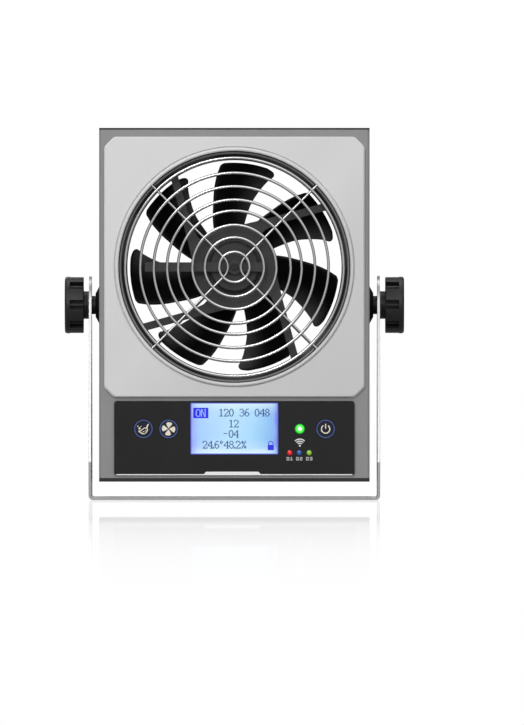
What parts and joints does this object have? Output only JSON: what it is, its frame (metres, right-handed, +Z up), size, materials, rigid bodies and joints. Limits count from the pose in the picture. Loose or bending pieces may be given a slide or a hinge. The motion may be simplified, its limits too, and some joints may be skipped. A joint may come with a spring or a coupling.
{
  "type": "ionizing blower",
  "caption": "Bench-top ionizing air blower: a box head with a guarded fan and control panel that tilts between the arms of a U-shaped stand on clamp knobs.",
  "frame": {"origin": "centre of the underside of the stand's base, where it meets the table", "axes": "+Z up, -Y is the side the air blows out of, X across the front along the tilt axis"},
  "size_m": [0.1888, 0.0925, 0.2063],
  "materials": {
    "stand_steel": "brushed stainless strip",
    "shell_grey": "mid-grey powder coat",
    "shell_black": "black powder coat",
    "panel_light": "pale grey satin paint",
    "facia_black": "black moulded facia with a soft sheen",
    "lcd_glass": "clear display window",
    "lcd_backlight": "lit pale blue display",
    "guard_wire": "bright nickel-plated wire",
    "duct_plastic": "dark grey glass-filled plastic",
    "motor_plastic": "dark grey plastic",
    "blade_plastic": "black plastic, soft sheen",
    "bristle": "cream nylon bristles",
    "needle_metal": "polished needle stock",
    "copper": "enamelled copper",
    "lead_red": "red silicone-covered lead",
    "lead_black": "black lead",
    "cable_grey": "grey flat cable",
    "potting": "black potted block",
    "pcb": "green solder mask",
    "capacitor": "dark blue sleeve",
    "switch_black": "black plastic",
    "brass": "plain brass",
    "zinc": "zinc-plated steel",
    "black_oxide": "black-oxide steel screw",
    "nickel": "nickel-plated screws",
    "lamination": "stacked steel laminations",
    "steel": "ground steel",
    "magnet": "bonded ferrite",
    "rubber": "black moulded rubber",
    "sleeve_black": "black nylon",
    "knob_black": "black moulded knob with a soft sheen",
    "key_blue": "dark blue key",
    "lamp_green": "lit green lamp",
    "lamp_red": "red lamp",
    "lamp_blue": "blue lamp",
    "lamp_green2": "green lamp"
  },
  "bodies": {
    "stand": {"stand_bracket": "stand_steel"},
    "head": {"front_shell": "shell_grey", "rear_shell": "shell_black", "front_panel": "panel_light", "control_panel": "facia_black", "lcd_lens": "lcd_glass", "lcd_module": "lcd_backlight", "control_board": "pcb", "board_standoffs": "brass", "board_screws": "zinc", "tact_switches": "switch_black", "status_led": "lamp_green", "led_red": "lamp_red", "led_blue": "lamp_blue", "led_green": "lamp_green2", "outlet_guard": "guard_wire", "emitter_ring": "duct_plastic", "emitter_needles": "needle_metal", "hv_bus_wires": "copper", "hv_module": "potting", "hv_leads": "lead_red", "main_board": "pcb", "board_capacitors": "capacitor", "fan_frame": "duct_plastic", "motor_mount": "duct_plastic", "fan_stator": "lamination", "stator_windings": "copper", "fan_drive_board": "pcb", "fan_bearings": "steel", "fan_screws": "zinc", "panel_nuts": "zinc", "fan_lead": "lead_black", "brush_gearmotor": "motor_plastic", "intake_guard": "guard_wire", "rear_screws": "nickel", "power_jack": "switch_black", "ground_stud": "brass", "ground_nuts": "zinc", "ribbon_cable": "cable_grey", "cone_left": "rubber", "cone_right": "rubber", "sleeve_left": "sleeve_black", "sleeve_right": "sleeve_black", "sleeve_nuts": "zinc"},
    "rotor": {"impeller": "blade_plastic", "rotor_yoke": "steel", "rotor_magnet": "magnet", "fan_shaft": "steel"},
    "cleaner": {"cleaning_arm": "motor_plastic", "cleaning_brush": "bristle", "arm_screw": "black_oxide"},
    "clean_key": {"key_clean": "key_blue"},
    "fan_key": {"key_fan": "key_blue"},
    "power_key": {"key_power": "key_blue"},
    "left_washer": {"washer_left": "sleeve_black"},
    "left_knob": {"knob_left": "knob_black", "stud_left": "steel"},
    "right_washer": {"washer_right": "sleeve_black"},
    "right_knob": {"knob_right": "knob_black", "stud_right": "steel"}
  },
  "joints": [
    {"name": "head_tilt", "type": "hinge", "parent": "stand", "child": "head", "pos_m": [0, 0, 0.1082], "axis": [1, 0, 0], "range_deg": [-180, 180]},
    {"name": "fan_spin", "type": "hinge", "parent": "head", "child": "rotor", "pos_m": [0, 0, 0.1292], "axis": [0, -1, 0], "continuous": true},
    {"name": "cleaner_spin", "type": "hinge", "parent": "head", "child": "cleaner", "pos_m": [0, 0, 0.1292], "axis": [0, -1, 0], "continuous": true},
    {"name": "clean_key_press", "type": "slide", "parent": "head", "child": "clean_key", "axis": [0, 1, 0], "range_m": [0, 0.0005], "stiffness_N_per_m": 800, "springref_m": -0.0005},
    {"name": "fan_key_press", "type": "slide", "parent": "head", "child": "fan_key", "axis": [0, 1, 0], "range_m": [0, 0.0005], "stiffness_N_per_m": 800, "springref_m": -0.0005},
    {"name": "power_key_press", "type": "slide", "parent": "head", "child": "power_key", "axis": [0, 1, 0], "range_m": [0, 0.0005], "stiffness_N_per_m": 800, "springref_m": -0.0005},
    {"name": "left_clamp_slide", "type": "slide", "parent": "head", "child": "left_washer", "axis": [-1, 0, 0], "range_m": [0, 0.0022]},
    {"name": "left_knob_turn", "type": "hinge", "parent": "left_washer", "child": "left_knob", "pos_m": [-0.09, 0, 0.1082], "axis": [-1, 0, 0], "range_deg": [0, 720]},
    {"name": "right_clamp_slide", "type": "slide", "parent": "head", "child": "right_washer", "axis": [1, 0, 0], "range_m": [0, 0.0022]},
    {"name": "right_knob_turn", "type": "hinge", "parent": "right_washer", "child": "right_knob", "pos_m": [0.09, 0, 0.1082], "axis": [1, 0, 0], "range_deg": [0, 720]}
  ],
  "couplings": [
    {"joint": "left_clamp_slide", "follows": "left_knob_turn", "m_per_rad": 0.00015914},
    {"joint": "right_clamp_slide", "follows": "right_knob_turn", "m_per_rad": 0.00015914}
  ]
}
